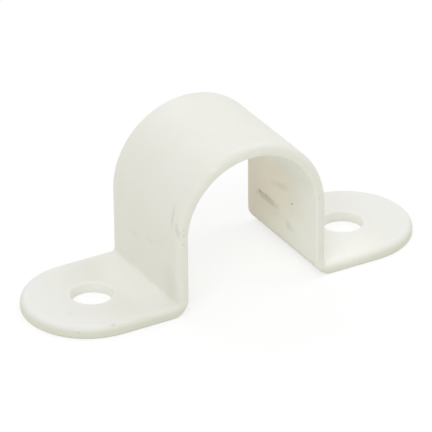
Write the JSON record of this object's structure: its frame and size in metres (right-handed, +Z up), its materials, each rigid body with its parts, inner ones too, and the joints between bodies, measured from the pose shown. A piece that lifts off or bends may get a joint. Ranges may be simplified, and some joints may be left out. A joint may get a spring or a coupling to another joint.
{
  "type": "conduit clip",
  "caption": "One-piece moulded plastic saddle clip: a round-topped strap holds a conduit down between flat feet with rounded ends, each drilled for a screw.",
  "frame": {"origin": "on the base plane, midway between the feet and under the crown of the arch", "axes": "+X along the clip from foot to foot, +Y along the conduit, +Z up away from the wall it is fixed to"},
  "size_m": [0.0594, 0.019, 0.0228],
  "materials": {
    "cream_plastic": "satin off-white rigid plastic, slightly yellowed inside the channel"
  },
  "bodies": {
    "root": {"conduit_clip": "cream_plastic"}
  },
  "joints": []
}
